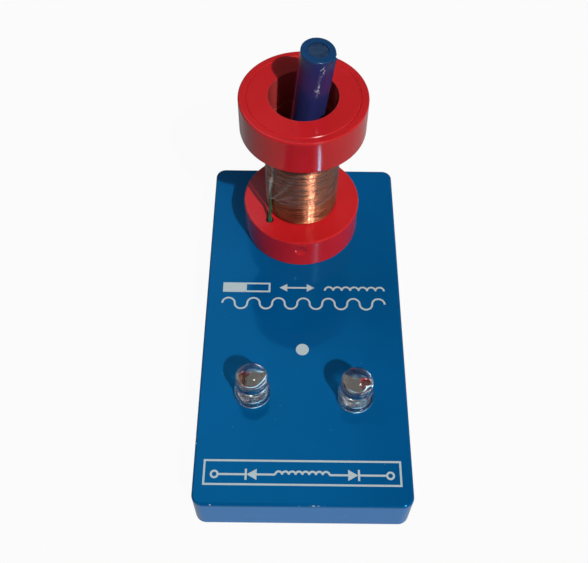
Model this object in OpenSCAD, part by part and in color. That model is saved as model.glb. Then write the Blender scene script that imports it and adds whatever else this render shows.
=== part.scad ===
// Induced current apparatus: a coil on a spool, two light emitters and a magnet that is moved in the coil.
// Millimetres, +Z up, origin at the middle of the base's underside, front towards -Y.

/* [Base] */
// Width of the base
base_w = 65; // [62:1:90]
// Depth of the base, front to back
base_d = 128; // [120:1:180]
// Height of the base
base_h = 15.6; // [14:0.1:24]
// Radius of the base's upright corners
base_corner_r = 3.4; // [2.5:0.1:5]
// Radius of the rounded top edge
base_edge_r = 0.8; // [0.4:0.1:1.2]
// Thickness of the base's side walls
base_wall = 3; // [2.6:0.1:4]
// Thickness of the base's top
base_top_t = 3.2; // [2.5:0.1:4.5]
// Radius of the pocket's corners
pocket_corner_r = 1.5; // [0.8:0.1:3]
// Thickness of the bottom cover
cover_t = 2; // [1.5:0.1:2.6]
// Width of the ledge that the cover's edge rests on
cover_ledge = 1.4; // [1:0.1:1.8]
// Diameter of the posts that take the cover's screws
post_d = 7; // [6:0.1:9]

/* [Screws] */
// Shank diameter of the cover's screws
cover_screw_d = 2.6; // [2.2:0.1:3]
// Head diameter of the cover's screws
cover_screw_head_d = 5.2; // [4.6:0.1:5.6]
// Length of the cover's screws
cover_screw_l = 9; // [7:0.5:10]
// Shank diameter of the spool's screws
spool_screw_d = 2.9; // [2.4:0.1:3.4]
// Head diameter of the spool's screws
spool_screw_head_d = 5.6; // [4.8:0.1:6.4]
// Head height of the spool's screws
spool_screw_head_h = 1.8; // [1.4:0.1:2.4]
// Depth that the spool's screws reach into the lower flange
spool_screw_reach = 8; // [6:0.5:9]
// Width of the drive slot in a screw head
slot_w = 0.7; // [0.5:0.1:1]
// Depth of the drive slot in a screw head
slot_depth = 0.8; // [0.5:0.1:1]

/* [Spool] */
// Spool axis left or right of the base's middle
spool_x = -1; // [-4:0.1:4]
// Spool axis from the base's back edge
spool_from_back = 23.7; // [23:0.1:40]
// Diameter of the flanges
flange_d = 39.4; // [37:0.1:44]
// Thickness of each flange
flange_t = 12.7; // [11:0.1:16]
// Radius of the flanges' edges
flange_edge_r = 0.6; // [0.3:0.1:1]
// Height of the winding space between the flanges
window_h = 34.9; // [30:0.1:44]
// Bore of the flanges
flange_bore_d = 21.4; // [21:0.1:23]
// Bore of the core tube
tube_bore_d = 20.8; // [19:0.1:21]
// Wall of the core tube
tube_wall = 0.6; // [0.5:0.1:0.9]
// Depth of the seat that holds the tube's end in a flange
seat_depth = 1; // [0.6:0.1:2]
// Radius of the line that is turned in the upper flange's top
rim_line_r = 17.3; // [15:0.1:17.6]
// Width of that line
rim_line_w = 0.5; // [0.3:0.1:0.8]
// Depth of that line
rim_line_depth = 0.2; // [0.1:0.05:0.4]
// Height of the dimple on the lower flange's front
dimple_z = 8.3; // [6:0.1:9]
// Width of the dimple
dimple_w = 5; // [2:0.1:6]
// Depth of the dimple
dimple_depth = 0.5; // [0.2:0.1:0.8]

/* [Winding] */
// Thickness of the inner layers of wire
winding_t = 0.4; // [0.3:0.1:0.8]
// Diameter of the wire in the outer layer
wire_d = 0.6; // [0.4:0.1:0.7]
// Turns in the outer layer
wire_turns = 23; // [8:1:24]
// Bend radius at the ends of the outer layer
wire_bend_r = 0.6; // [0.5:0.1:1]
// Thickness of the tape
tape_t = 0.1; // [0.06:0.01:0.2]
// Height of winding that the tape covers, from the upper flange down
tape_h = 26.5; // [20:0.5:30]

/* [Leads] */
// Diameter of the insulated leads
lead_d = 1; // [0.9:0.1:1.5]
// Diameter of the leads' holes in the lower flange and the base
lead_hole_d = 2.6; // [2.2:0.1:3]
// Distance of the lead holes from the spool's axis
lead_hole_r = 14.5; // [14.2:0.1:15.5]
// Angle of the front lead's hole round the spool
lead_hole_angle = 222.5; // [215:0.5:232]
// Angle at which the front lead lies on the winding
lead_lie_angle = 215.5; // [210:0.5:222]
// Length of lead that lies along the winding under the tape
lead_under_tape = 9; // [4:0.5:14]
// Height over the lower flange at which a lead reaches the winding
lead_rise = 5; // [4:0.1:7]

/* [Light emitters] */
// Left emitter from the base's middle
led_left_x = -15.8; // [-20:0.1:-12]
// Left emitter from the base's front edge
led_left_from_front = 36.2; // [30:0.1:44]
// Right emitter from the base's middle
led_right_x = 16.2; // [12:0.1:20]
// Right emitter from the base's front edge
led_right_from_front = 35; // [30:0.1:44]
// Diameter of the lens
led_d = 10; // [9:0.1:11]
// Diameter of the lens's foot flange
led_flange_d = 11.5; // [11:0.1:12.5]
// Thickness of the foot flange
led_flange_t = 1.6; // [1:0.1:2.4]
// Height of the lens over the base
led_h = 14.2; // [12:0.1:16]
// Spacing of the two legs
leg_pitch = 2.54; // [2.2:0.02:3]
// Width of a square leg
leg_w = 0.5; // [0.4:0.05:0.6]
// Length of the legs below the lens
leg_l = 9; // [8:0.1:10]
// Diameter of a leg's hole in the base
leg_hole_d = 1.1; // [1:0.05:1.4]
// Height of the reflector cup's rim in the lens
cup_z = 3.4; // [3.2:0.1:6]
// Diameter of the reflector cup
cup_d = 2.6; // [2:0.1:3]
// Depth of the reflector cup
cup_depth = 0.6; // [0.5:0.1:1]
// Thickness of the cup's floor
cup_floor_t = 0.3; // [0.2:0.05:0.5]
// Side of the square chip
chip_w = 0.6; // [0.4:0.05:0.8]
// Height of the chip
chip_h = 0.3; // [0.2:0.05:0.4]
// Height in the lens at which the legs widen
frame_z = 0.9; // [0.8:0.1:1.2]
// Gap between the anode's post and the reflector cup
post_gap = 0.4; // [0.3:0.05:0.8]
// Width of the anode's post
post_w = 0.6; // [0.5:0.05:0.8]
// Depth of the flat on the foot flange, on the cathode's side
flat_depth = 0.4; // [0.2:0.05:0.6]
// Diameter of a solder joint
solder_d = 1.9; // [1.6:0.1:2.1]

/* [Magnet] */
// Diameter of the bare magnet
magnet_d = 9.3; // [6:0.1:9.6]
// Length of the bare magnet
magnet_l = 78; // [65:0.5:100]
// Thickness of the film sleeve
sleeve_t = 0.35; // [0.2:0.05:0.6]
// Width of the sleeve's edge that is folded over each end
sleeve_fold = 2; // [1:0.1:2.6]
// Side of the bore that the magnet's foot lies against
magnet_foot_angle = 138; // [0:1:359]
// How far the magnet's axis is from the bore's axis at the spool's top
magnet_rim_off = 2.25; // [0:0.05:3]
// Direction of that offset
magnet_rim_angle = -20; // [-180:1:180]

/* [Clearances] */
// Gap between pieces that are pushed or glued together
fit_gap = 0.05; // [0.03:0.01:0.1]
// Gap between a lead and the winding that it lies on
lead_gap = 0.2; // [0.15:0.05:0.4]
// Gap round the bottom cover
cover_gap = 0.2; // [0.1:0.05:0.4]
// Gap round a screw's shank in a hole that it passes through
screw_gap = 0.25; // [0.1:0.05:0.5]
// Gap between the magnet and the bore or its floor
magnet_gap = 0.35; // [0.3:0.05:0.6]

/* [Hidden] */
$fn = 96;

// A cut reaches this far past the face that it opens
past = 1;

// Base: the pocket under its top, the cover's recess and the posts in the corners
pocket_z = base_h - base_top_t;
recess_inset = base_wall - cover_ledge;
recess_corner_r = max(base_corner_r - recess_inset, pocket_corner_r);
sunk_head_h = (cover_screw_head_d - cover_screw_d) / 2;
post_x = base_w / 2 - base_wall - post_d / 2 + cover_ledge;
post_y = base_d / 2 - base_wall - post_d / 2 + cover_ledge;

// Spool: levels over the base and radii from the bore outwards
spool_pos = [spool_x, base_d / 2 - spool_from_back, base_h];
window_z0 = flange_t;
window_z1 = flange_t + window_h;
spool_h = 2 * flange_t + window_h;
tube_r = tube_bore_d / 2 + tube_wall;
core_r0 = tube_r + fit_gap;
core_r = core_r0 + winding_t;
rings_per_turn = 24;
wire_r = (core_r + fit_gap + wire_d / 2) / cos(180 / rings_per_turn);
coil_r = wire_r + wire_d / 2;
tape_r0 = coil_r + fit_gap;
tape_r = tape_r0 + tape_t;
tape_z0 = window_z1 - tape_h;
spool_screw_r = lead_hole_r;
spool_screw_angles = [lead_hole_angle - 90, lead_hole_angle + 90];
lead_finish_angle = lead_hole_angle + 180;
lead_hole_angles = [lead_hole_angle, lead_finish_angle];
lead_lie_angles = [lead_lie_angle, lead_lie_angle + 180];
wire_start_angle = lead_hole_angle + 45;

// Leads lie on the outer turns
lead_lie_r = coil_r + lead_gap + lead_d / 2;
lead_top_z = tape_z0 + lead_under_tape;

// Emitters: place of each, turned so that the two are joined head to tail
led_left_pos = [led_left_x, led_left_from_front - base_d / 2, base_h];
led_right_pos = [led_right_x, led_right_from_front - base_d / 2, base_h];
led_left_turn = 0;
led_right_turn = 180;
joint_z = base_h - leg_l + solder_d / 2;

// Magnet: foot point near the floor, and the point where its axis passes the spool's top
sleeve_r = magnet_d / 2 + fit_gap + sleeve_t;
sleeve_l = magnet_l + 2 * (fit_gap + sleeve_t);
foot_off = tube_bore_d / 2 - sleeve_r - magnet_gap;
foot_xy = foot_off * [cos(magnet_foot_angle), sin(magnet_foot_angle)];
rim_xy = magnet_rim_off * [cos(magnet_rim_angle), sin(magnet_rim_angle)];
lean_xy = rim_xy - foot_xy;
lean_turn = atan2(lean_xy[1], lean_xy[0]);
lean_tilt = atan2(norm(lean_xy), spool_h);
foot_z = magnet_gap + sleeve_r * sin(lean_tilt);

// Colours
blue = [0.02, 0.33, 0.6];
black = [0.12, 0.12, 0.13];
steel = [0.72, 0.73, 0.74];
red = [0.74, 0.14, 0.16];
copper = [0.5, 0.2, 0.13];
film = [0.75, 0.72, 0.7, 0.4];
green = [0.05, 0.34, 0.22];
clear = [0.85, 0.9, 0.95, 0.5];
tin = [0.8, 0.8, 0.82];
indigo = [0.17, 0.14, 0.3];

// Point at radius r and angle a round the spool's axis, at height z over the base
function on_spool(r, a, z) = spool_pos + [r * cos(a), r * sin(a), z];

// Points of an arc about c, from angle a0 to a1 in n steps
function arc(c, r, a0, a1, n) = [for (i = [0 : n]) let (a = a0 + (a1 - a0) * i / n) c + r * [cos(a), sin(a)]];

// Rectangle with round corners
module rounded_rect(w, d, r) {
  square([w - 2 * r, d], center = true);
  square([w, d - 2 * r], center = true);
  for (x = [-1, 1], y = [-1, 1])
    translate([x * (w / 2 - r), y * (d / 2 - r)])
      circle(r);
}

// What a rounded edge of radius r takes off a square one whose corner is at the origin
module edge_waste(r) {
  polygon(concat(arc([-r, -r], r, 90, 0, 5), [[past, -r], [past, past], [-r, past]]));
}

// The same, all round the top of a slab with round corners
module top_edge_waste(w, d, corner_r, r) {
  for (side = [0 : 3])
    rotate([0, 0, 90 * side]) {
      across = side % 2 == 0 ? w : d;
      along = side % 2 == 0 ? d : w;
      translate([across / 2, 0, 0])
        rotate([90, 0, 0])
          linear_extrude(along - 2 * corner_r, center = true)
            edge_waste(r);
      translate([across / 2 - corner_r, along / 2 - corner_r, 0])
        rotate_extrude(angle = 90)
          translate([corner_r, 0])
            edge_waste(r);
    }
}

// Copies at the four posts
module at_posts() {
  for (x = [-post_x, post_x], y = [-post_y, post_y])
    translate([x, y, 0])
      children();
}

// Copies at the given angles round the spool, on a circle of radius r
module round_spool(r, angles) {
  translate(spool_pos)
    for (a = angles)
      rotate([0, 0, a])
        translate([r, 0, 0])
          children();
}

// Copies at the two legs of an emitter
module at_legs(pos) {
  for (x = [-1, 1])
    translate(pos + [x * leg_pitch / 2, 0, 0])
      children();
}

// Blue base: a shell open below, with posts for the cover's screws
module base_housing() {
  color(blue)
    difference() {
      linear_extrude(base_h)
        rounded_rect(base_w, base_d, base_corner_r);
      translate([0, 0, base_h])
        top_edge_waste(base_w, base_d, base_corner_r, base_edge_r);
      difference() {
        translate([0, 0, -past])
          linear_extrude(pocket_z + past)
            rounded_rect(base_w - 2 * base_wall, base_d - 2 * base_wall, pocket_corner_r);
        at_posts()
          translate([0, 0, cover_t])
            cylinder(d = post_d, h = pocket_z);
      }
      translate([0, 0, -past])
        linear_extrude(cover_t + past)
          rounded_rect(base_w - 2 * recess_inset, base_d - 2 * recess_inset, recess_corner_r);
      at_posts()
        cylinder(r = cover_screw_d / 2 + fit_gap, h = cover_screw_l + past);
      round_spool(lead_hole_r, lead_hole_angles)
        translate([0, 0, -base_h])
          cylinder(d = lead_hole_d, h = base_h + past);
      round_spool(spool_screw_r, spool_screw_angles)
        translate([0, 0, -base_h])
          cylinder(r = spool_screw_d / 2 + screw_gap, h = base_h + past);
      for (pos = [led_left_pos, led_right_pos])
        at_legs(pos - [0, 0, base_h])
          cylinder(d = leg_hole_d, h = base_h + past);
    }
}

// Plate that closes the base from below, flush with its rim
module bottom_cover() {
  cover_inset = recess_inset + cover_gap;
  color(black)
    difference() {
      linear_extrude(cover_t - fit_gap)
        rounded_rect(base_w - 2 * cover_inset, base_d - 2 * cover_inset, recess_corner_r);
      at_posts() {
        translate([0, 0, -past])
          cylinder(r = cover_screw_d / 2 + fit_gap, h = cover_t + 2 * past);
        translate([0, 0, -fit_gap])
          cylinder(
            r1 = cover_screw_head_d / 2 + 2 * fit_gap,
            r2 = cover_screw_d / 2,
            h = sunk_head_h + 2 * fit_gap
          );
      }
    }
}

// Sunk screws of the cover
module cover_screws() {
  color(steel)
    at_posts()
      difference() {
        union() {
          cylinder(d1 = cover_screw_head_d, d2 = cover_screw_d, h = sunk_head_h);
          cylinder(d = cover_screw_d, h = cover_screw_l);
        }
        cube([cover_screw_head_d + past, slot_w, 2 * slot_depth], center = true);
      }
}

// Round flange with a bore and rounded outer edges
module flange_blank() {
  outer = flange_d / 2 - flange_edge_r;
  rotate_extrude()
    polygon(concat(
      [[flange_bore_d / 2, flange_t], [flange_bore_d / 2, 0]],
      arc([outer, flange_edge_r], flange_edge_r, -90, 0, 5),
      arc([outer, flange_t - flange_edge_r], flange_edge_r, 0, 90, 5)
    ));
}

// Seat for the tube's end, from height z upwards
module tube_seat(z) {
  translate([0, 0, z])
    cylinder(r = tube_r + fit_gap, h = seat_depth + past);
}

// Lower flange: screwed to the base, with the leads' holes and a dimple on its front
module flange_lower() {
  dimple_r = (dimple_w * dimple_w / 4 + dimple_depth * dimple_depth) / (2 * dimple_depth);
  color(red)
    difference() {
      translate(spool_pos)
        flange_blank();
      translate(spool_pos)
        tube_seat(flange_t - seat_depth);
      translate(spool_pos + [0, dimple_depth - flange_d / 2 - dimple_r, dimple_z])
        sphere(dimple_r);
      round_spool(lead_hole_r, lead_hole_angles)
        translate([0, 0, -past])
          cylinder(d = lead_hole_d, h = flange_t + 2 * past);
      round_spool(spool_screw_r, spool_screw_angles)
        translate([0, 0, -past])
          cylinder(r = spool_screw_d / 2 + fit_gap, h = spool_screw_reach + 2 * past);
    }
}

// Core tube between the flanges
module spool_tube() {
  tube_l = window_h + 2 * seat_depth - 2 * fit_gap;
  color(red)
    translate(spool_pos + [0, 0, window_z0 - seat_depth + fit_gap])
      difference() {
        cylinder(r = tube_r, h = tube_l);
        translate([0, 0, -past])
          cylinder(d = tube_bore_d, h = tube_l + 2 * past);
      }
}

// Upper flange: as the lower one, with a line turned in its top near the rim
module flange_upper() {
  color(red)
    translate(spool_pos + [0, 0, window_z1])
      difference() {
        flange_blank();
        tube_seat(-past);
        translate([0, 0, flange_t])
          rotate_extrude()
            polygon([
              [rim_line_r - rim_line_w / 2, 0],
              [rim_line_r, -rim_line_depth],
              [rim_line_r + rim_line_w / 2, 0],
              [rim_line_r + rim_line_w / 2, past],
              [rim_line_r - rim_line_w / 2, past]
            ]);
      }
}

// Screws that come up through the base's top into the lower flange
module spool_screws() {
  color(steel)
    round_spool(spool_screw_r, spool_screw_angles)
      translate([0, 0, -base_top_t - fit_gap])
        difference() {
          union() {
            translate([0, 0, -spool_screw_head_h])
              cylinder(d = spool_screw_head_d, h = spool_screw_head_h);
            cylinder(d = spool_screw_d, h = base_top_t + spool_screw_reach);
          }
          translate([0, 0, -spool_screw_head_h])
            cube([spool_screw_head_d + past, slot_w, 2 * slot_depth], center = true);
        }
}

// Inner layers of the winding, as one plain sleeve
module winding_core() {
  core_h = window_h - 2 * fit_gap;
  color(copper)
    translate(spool_pos + [0, 0, window_z0 + fit_gap])
      difference() {
        cylinder(r = core_r, h = core_h);
        translate([0, 0, -past])
          cylinder(r = core_r0, h = core_h + 2 * past);
      }
}

// Outer layer of wire: angle round the spool and height of each ring of the tube.
// Each end turns upright and runs straight for one wire diameter to its flange.
bend_steps = 4;
bend_span = wire_bend_r / wire_r * 180 / PI;
wire_end_z0 = window_z0 + fit_gap;
wire_end_z1 = window_z1 - fit_gap;
wire_z0 = wire_end_z0 + wire_d + wire_bend_r;
wire_z1 = wire_end_z1 - wire_d - wire_bend_r;
wire_a1 = wire_start_angle + 360 * wire_turns;
wire_rings = wire_turns * rings_per_turn;
wire_route = concat(
  [[wire_start_angle - bend_span, wire_end_z0]],
  [for (i = [0 : bend_steps - 1]) let (b = 90 * i / bend_steps)
    [wire_start_angle - bend_span * cos(b), wire_z0 - wire_bend_r * (1 - sin(b))]],
  [for (i = [0 : wire_rings])
    [wire_start_angle + 360 * i / rings_per_turn, wire_z0 + (wire_z1 - wire_z0) * i / wire_rings]],
  [for (i = [1 : bend_steps]) let (b = 90 * i / bend_steps)
    [wire_a1 + bend_span * sin(b), wire_z1 + wire_bend_r * (1 - cos(b))]],
  [[wire_a1 + bend_span, wire_end_z1]]
);
wire_points = [for (p = wire_route) on_spool(wire_r, p[0], p[1])];

// Least gap of the wire to itself, measured on points at least half a turn apart along it
wire_gap = min([
  for (i = [0 : len(wire_points) - 1])
    for (j = [i + rings_per_turn / 2 : min(i + 2 * rings_per_turn, len(wire_points) - 1)])
      norm(wire_points[i] - wire_points[j])
]) - wire_d;
echo(str("winding_wire: ", wire_turns, " turns, least gap to itself ", wire_gap, " mm"));

// Direction of a route at point i
function heading(points, i) =
  let (d = points[min(i + 1, len(points) - 1)] - points[max(i - 1, 0)])
    d / norm(d);

// Unit vector along the part of v that is square to the unit vector t
function square_to(v, t) = let (s = v - (v * t) * t) s / norm(s);

// Closed tube of diameter d through points; sides holds one sideways direction for each point
module tube_along(points, sides, d, n) {
  count = len(points);
  ring_points = [
    for (i = [0 : count - 1])
      let (t = heading(points, i), u = square_to(sides[i], t), v = cross(t, u))
        for (k = [0 : n - 1])
          points[i] + d / 2 * (cos(360 * k / n) * u + sin(360 * k / n) * v)
  ];
  walls = [
    for (i = [0 : count - 2], k = [0 : n - 1])
      let (a = i * n + k, b = i * n + (k + 1) % n)
        each [[a, a + n, b], [b, a + n, b + n]]
  ];
  caps = [
    for (k = [1 : n - 2])
      each [[0, k, k + 1], [(count - 1) * n, (count - 1) * n + k + 1, (count - 1) * n + k]]
  ];
  polyhedron(ring_points, concat(walls, caps));
}

module winding_wire() {
  color(copper)
    tube_along(wire_points, [for (p = wire_route) [cos(p[0]), sin(p[0]), 0]], wire_d, 6);
}

// Clear tape round the upper part of the winding, raised where it passes over the leads
module tape_wrap() {
  lead_hollow = lead_d / 2 + fit_gap;
  channel_w = 2 * lead_hollow - 2 * fit_gap;
  color(film)
    translate(spool_pos + [0, 0, tape_z0])
      linear_extrude(tape_h - fit_gap)
        difference() {
          union() {
            circle(tape_r);
            for (a = lead_lie_angles)
              rotate(a) {
                translate([lead_lie_r, 0])
                  circle(lead_hollow + tape_t);
                translate([0, -channel_w / 2 - tape_t])
                  square([lead_lie_r, channel_w + 2 * tape_t]);
              }
          }
          circle(tape_r0);
          for (a = lead_lie_angles)
            rotate(a) {
              translate([lead_lie_r, 0])
                circle(lead_hollow);
              translate([0, -channel_w / 2])
                square([lead_lie_r, channel_w]);
            }
        }
}

// Smooth curve through a route's points, with n steps between neighbours
function smooth(route, n) = concat(
  [
    for (i = [0 : len(route) - 2])
      let (
        p0 = route[max(i - 1, 0)],
        p1 = route[i],
        p2 = route[i + 1],
        p3 = route[min(i + 2, len(route) - 1)]
      )
        for (k = [0 : n - 1])
          let (t = k / n)
            0.5 * (2 * p1 + (p2 - p0) * t + (2 * p0 - 5 * p1 + 4 * p2 - p3) * t * t
              + (3 * p1 - p0 - 3 * p2 + p3) * t * t * t)
  ],
  [route[len(route) - 1]]
);

// Sideways direction at each point of a curve, carried along it without twist
function carried_sides(points, first) = [
  for (
    i = 0, u = first;
    i < len(points);
    i = i + 1, u = square_to(u, heading(points, min(i, len(points) - 1)))
  )
    u
];

// Insulated lead along a route; a lead's sideways direction starts along X
module lead(route) {
  points = smooth(route, 2);
  tube_along(points, carried_sides(points, square_to([1, 0.3, 0.2], heading(points, 0))), lead_d, 8);
}

// A lead from under the tape to below the base's top, on the side that the two angles give
function lead_down(lie_angle, hole_angle) = [
  on_spool(lead_lie_r, lie_angle, lead_top_z),
  on_spool(lead_lie_r, lie_angle, tape_z0),
  on_spool(lead_lie_r, lie_angle, window_z0 + lead_rise),
  on_spool(lead_hole_r, hole_angle, window_z0),
  on_spool(lead_hole_r, hole_angle, window_z0 / 2),
  on_spool(lead_hole_r, hole_angle, 0),
  on_spool(lead_hole_r, hole_angle, -base_top_t - lead_d)
];

// Where a wire ends beside an emitter's leg, on the side that the direction gives
function beside_leg(pos, side, direction) =
  [pos[0] + side * leg_pitch / 2, pos[1], joint_z] + (leg_w / 2 + fit_gap) * direction;

lead_start_route = concat(lead_down(lead_lie_angle, lead_hole_angle), [
  [-13, 26, 7],
  [-15, 18, 6.5],
  [-17, 8, 6.5],
  [-18, -3, 6.5],
  [-18, -14, 6.5],
  beside_leg(led_left_pos, -1, [0, 8, 0]),
  beside_leg(led_left_pos, -1, [0, 1, 0])
]);

lead_finish_route = concat(lead_down(lead_lie_angle + 180, lead_finish_angle), [
  [13, 49, 7],
  [19, 44, 6.5],
  [21, 34, 6.5],
  [21, 22, 6.5],
  [22, 8, 6.5],
  [23, -6, 6.5],
  [23, -18, 6.5],
  [22, -26, 6.8],
  beside_leg(led_right_pos, 1, [8, 0, 0]),
  beside_leg(led_right_pos, 1, [1, 0, 0])
]);

jumper_front_route = [
  beside_leg(led_left_pos, -1, [0, -1, 0]),
  beside_leg(led_left_pos, -1, [0, -8, 0]),
  [-14, -36, 6.5],
  [-5, -39, 6.5],
  [5, -39, 6.5],
  [12, -37, 6.5],
  beside_leg(led_right_pos, -1, [0, -8, 0]),
  beside_leg(led_right_pos, -1, [0, -1, 0])
];

jumper_back_route = [
  beside_leg(led_left_pos, 1, [0, 1, 0]),
  beside_leg(led_left_pos, 1, [0, 8, 0]),
  [-10, -20, 6.5],
  [0, -18, 6.5],
  [10, -19, 6.5],
  [16, -23, 6.5],
  beside_leg(led_right_pos, 1, [0, 8, 0]),
  beside_leg(led_right_pos, 1, [0, 1, 0])
];

module lead_start() {
  color(green)
    lead(lead_start_route);
}

module lead_finish() {
  color(green)
    lead(lead_finish_route);
}

module jumper_front() {
  color(red)
    lead(jumper_front_route);
}

module jumper_back() {
  color(black)
    lead(jumper_back_route);
}

// Solder on the emitters' legs, round the wires' ends
module solder_joints() {
  color(tin)
    for (pos = [led_left_pos, led_right_pos])
      at_legs([pos[0], pos[1], joint_z])
        sphere(d = solder_d);
}

// Emitter's anode: a leg that leans out beside the cup and ends in a post
module anode_shape() {
  leg_in = leg_pitch / 2 - leg_w / 2;
  leg_out = leg_pitch / 2 + leg_w / 2;
  post_in = cup_d / 2 + post_gap;
  post_out = post_in + post_w;
  rotate([90, 0, 0])
    linear_extrude(leg_w, center = true)
      polygon([
        [-leg_out, -leg_l], [-leg_in, -leg_l], [-leg_in, frame_z],
        [-post_in, frame_z + post_w], [-post_in, cup_z], [-post_out, cup_z],
        [-post_out, frame_z], [-leg_out, frame_z - post_w]
      ]);
}

// Emitter's cathode: a leg that widens into a block with the reflector cup on top
module cathode_shape() {
  leg_in = leg_pitch / 2 - leg_w / 2;
  leg_out = leg_pitch / 2 + leg_w / 2;
  block_top = cup_z - cup_depth;
  rotate([90, 0, 0])
    linear_extrude(leg_w, center = true)
      polygon([
        [leg_in, -leg_l], [leg_out, -leg_l], [leg_out, frame_z], [cup_d / 2 + post_w, frame_z + post_w],
        [cup_d / 2 + post_w, block_top - cup_floor_t - post_w], [cup_d / 2, block_top - cup_floor_t],
        [-chip_w, block_top - cup_floor_t], [-chip_w, frame_z + post_w], [leg_in, frame_z]
      ]);
  translate([0, 0, block_top - cup_floor_t])
    difference() {
      cylinder(d = cup_d, h = cup_depth + cup_floor_t);
      translate([0, 0, cup_floor_t])
        cylinder(d1 = chip_w * 2, d2 = cup_d - leg_w, h = cup_depth + fit_gap);
    }
}

// Chip on the floor of the cup
module chip_shape() {
  translate([0, 0, cup_z - cup_depth + chip_h / 2])
    cube([chip_w, chip_w, chip_h], center = true);
}

// Clear lens, cast round the lead frame, with a flat on the cathode's side of its foot
module lens_shape() {
  straight_h = led_h - led_d / 2;
  difference() {
    rotate_extrude() {
      difference() {
        union() {
          square([led_d / 2, straight_h]);
          translate([0, straight_h])
            circle(led_d / 2);
        }
        translate([-led_d, 0])
          square([led_d, led_h + past]);
      }
      square([led_flange_d / 2, led_flange_t]);
    }
    translate([led_flange_d / 2 - flat_depth, -led_flange_d / 2, -past])
      cube([led_flange_d, led_flange_d, led_flange_t + past]);
    anode_shape();
    cathode_shape();
    chip_shape();
  }
}

// Puts an emitter's piece at its place on the base
module seated(pos, turn) {
  translate(pos)
    rotate([0, 0, turn])
      children();
}

module led_left_lens() {
  color(clear)
    seated(led_left_pos, led_left_turn)
      lens_shape();
}

module led_left_anode() {
  color(tin)
    seated(led_left_pos, led_left_turn)
      anode_shape();
}

module led_left_cathode() {
  color(tin)
    seated(led_left_pos, led_left_turn)
      cathode_shape();
}

module led_left_chip() {
  color(black)
    seated(led_left_pos, led_left_turn)
      chip_shape();
}

module led_right_lens() {
  color(clear)
    seated(led_right_pos, led_right_turn)
      lens_shape();
}

module led_right_anode() {
  color(tin)
    seated(led_right_pos, led_right_turn)
      anode_shape();
}

module led_right_cathode() {
  color(tin)
    seated(led_right_pos, led_right_turn)
      cathode_shape();
}

module led_right_chip() {
  color(black)
    seated(led_right_pos, led_right_turn)
      chip_shape();
}

// Puts the magnet's pieces where it stands, leaning in the bore
module standing() {
  translate(spool_pos + [foot_xy[0], foot_xy[1], foot_z])
    rotate([0, lean_tilt, lean_turn])
      children();
}

module magnet_rod() {
  color(steel)
    standing()
      translate([0, 0, sleeve_t + fit_gap])
        cylinder(d = magnet_d, h = magnet_l);
}

// Film sleeve round the magnet, folded in over both ends
module magnet_sleeve() {
  inner = magnet_d / 2 + fit_gap;
  opening = sleeve_r - sleeve_fold;
  color(indigo)
    standing()
      rotate_extrude()
        polygon(concat(
          [[opening, 0]],
          arc([sleeve_r - sleeve_t, sleeve_t], sleeve_t, -90, 0, 3),
          arc([sleeve_r - sleeve_t, sleeve_l - sleeve_t], sleeve_t, 0, 90, 3),
          [
            [opening, sleeve_l], [opening, sleeve_l - sleeve_t], [inner, sleeve_l - sleeve_t],
            [inner, sleeve_t], [opening, sleeve_t]
          ]
        ));
}

base_housing();
bottom_cover();
cover_screws();
flange_lower();
spool_tube();
flange_upper();
spool_screws();
winding_core();
winding_wire();
tape_wrap();
lead_start();
lead_finish();
led_left_lens();
led_left_anode();
led_left_cathode();
led_left_chip();
led_right_lens();
led_right_anode();
led_right_cathode();
led_right_chip();
jumper_front();
jumper_back();
solder_joints();
magnet_rod();
magnet_sleeve();
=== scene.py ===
import math

import bmesh
import bpy
from mathutils import Matrix, Vector, noise


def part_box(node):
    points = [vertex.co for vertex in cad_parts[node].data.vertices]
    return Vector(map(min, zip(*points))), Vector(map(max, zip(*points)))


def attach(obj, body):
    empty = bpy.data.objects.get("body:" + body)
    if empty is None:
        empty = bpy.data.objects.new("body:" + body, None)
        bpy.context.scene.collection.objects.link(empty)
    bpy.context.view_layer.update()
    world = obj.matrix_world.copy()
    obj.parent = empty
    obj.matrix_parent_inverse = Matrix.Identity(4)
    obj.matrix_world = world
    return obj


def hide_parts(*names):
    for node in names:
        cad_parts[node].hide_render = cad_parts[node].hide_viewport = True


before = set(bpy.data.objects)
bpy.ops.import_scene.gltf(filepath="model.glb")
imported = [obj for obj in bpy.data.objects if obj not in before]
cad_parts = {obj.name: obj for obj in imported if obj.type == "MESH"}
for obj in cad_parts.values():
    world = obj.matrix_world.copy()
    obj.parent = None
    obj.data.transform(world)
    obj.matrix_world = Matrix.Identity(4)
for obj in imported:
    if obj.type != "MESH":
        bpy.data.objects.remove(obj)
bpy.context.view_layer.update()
mm = 0.001

# Camera: held in front of the object and well above it, with the object in the middle of the picture.
# Its place, tilt, slight roll and lens put the base's corners and the flanges' rims where the photograph
# has them.
camera_at = Vector((-3.24, -141.48, 249.22)) * mm
camera_dip = 0.984
camera_roll = 0.011
camera_lens = 50.41
camera_sensor = 36.0

camera = bpy.data.objects.new("camera", bpy.data.cameras.new("camera"))
camera.data.sensor_fit = "HORIZONTAL"
camera.data.sensor_width = camera_sensor
camera.data.lens = camera_lens
camera.data.clip_start = 0.01
tilt_up = Matrix.Rotation(math.pi / 2 - camera_dip, 4, "X")
camera.matrix_world = Matrix.Translation(camera_at) @ tilt_up @ Matrix.Rotation(camera_roll, 4, "Z")
bpy.context.scene.collection.objects.link(camera)
bpy.context.scene.camera = camera

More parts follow.
